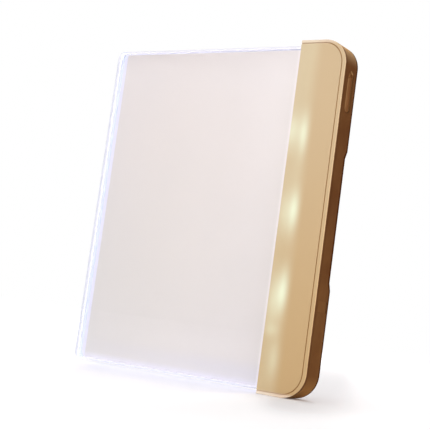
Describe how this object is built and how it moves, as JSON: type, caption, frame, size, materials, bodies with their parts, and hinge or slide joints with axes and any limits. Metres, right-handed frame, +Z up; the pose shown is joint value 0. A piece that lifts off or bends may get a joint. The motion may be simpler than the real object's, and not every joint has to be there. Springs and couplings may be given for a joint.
{
  "type": "led panel reading lamp",
  "caption": "Flat reading lamp: a clear light-guide panel edge-lit from a slim battery housing with a slide switch on its side and a battery door on its back.",
  "frame": {"origin": "bottom centre of the lamp's bounding box, standing on the housing's lower end", "axes": "+Z up along the housing, +X towards the housing side, +Y towards the back, so the lit front faces -Y"},
  "size_m": [0.145, 0.0138, 0.175],
  "materials": {
    "gold_cover": "satin gold, slightly translucent",
    "bronze_shell": "satin dark bronze",
    "bronze_knob": "satin dark bronze, slightly lighter",
    "clear_panel": "polished clear acrylic with a fine dot field",
    "nickel_plate": "nickel plated",
    "screw_steel": "zinc plated",
    "board_white": "white solder mask",
    "led_yellow": "phosphor behind clear resin",
    "black_plastic": "moulded black",
    "cell_sleeve": "printed sleeve, no lettering",
    "red_wire": "PVC insulation",
    "black_wire": "PVC insulation"
  },
  "bodies": {
    "lamp": {"front_cover": "gold_cover", "rear_shell": "bronze_shell", "light_panel": "clear_panel", "switch_body": "nickel_plate", "led_board": "board_white", "led_1": "led_yellow", "led_2": "led_yellow", "led_3": "led_yellow", "resistor_1": "black_plastic", "resistor_2": "black_plastic", "resistor_3": "black_plastic", "battery_1": "cell_sleeve", "battery_2": "cell_sleeve", "battery_3": "cell_sleeve", "positive_contact": "nickel_plate", "negative_contact": "nickel_plate", "contact_spring": "nickel_plate", "cell_wire": "red_wire", "switched_wire": "red_wire", "return_wire": "black_wire", "screw_1": "screw_steel", "screw_2": "screw_steel", "screw_3": "screw_steel", "screw_4": "screw_steel"},
    "switch_slider": {"switch_knob": "bronze_knob", "switch_lever": "black_plastic"},
    "door": {"battery_door": "bronze_shell"}
  },
  "joints": [
    {"name": "switch_slide", "type": "slide", "parent": "lamp", "child": "switch_slider", "axis": [0, 0, 1], "range_m": [0, 0.003]},
    {"name": "door_hinge", "type": "hinge", "parent": "lamp", "child": "door", "pos_m": [0.0541, 0.0069, 0.0875], "axis": [0, 0, 1], "range_deg": [0, 40]}
  ]
}
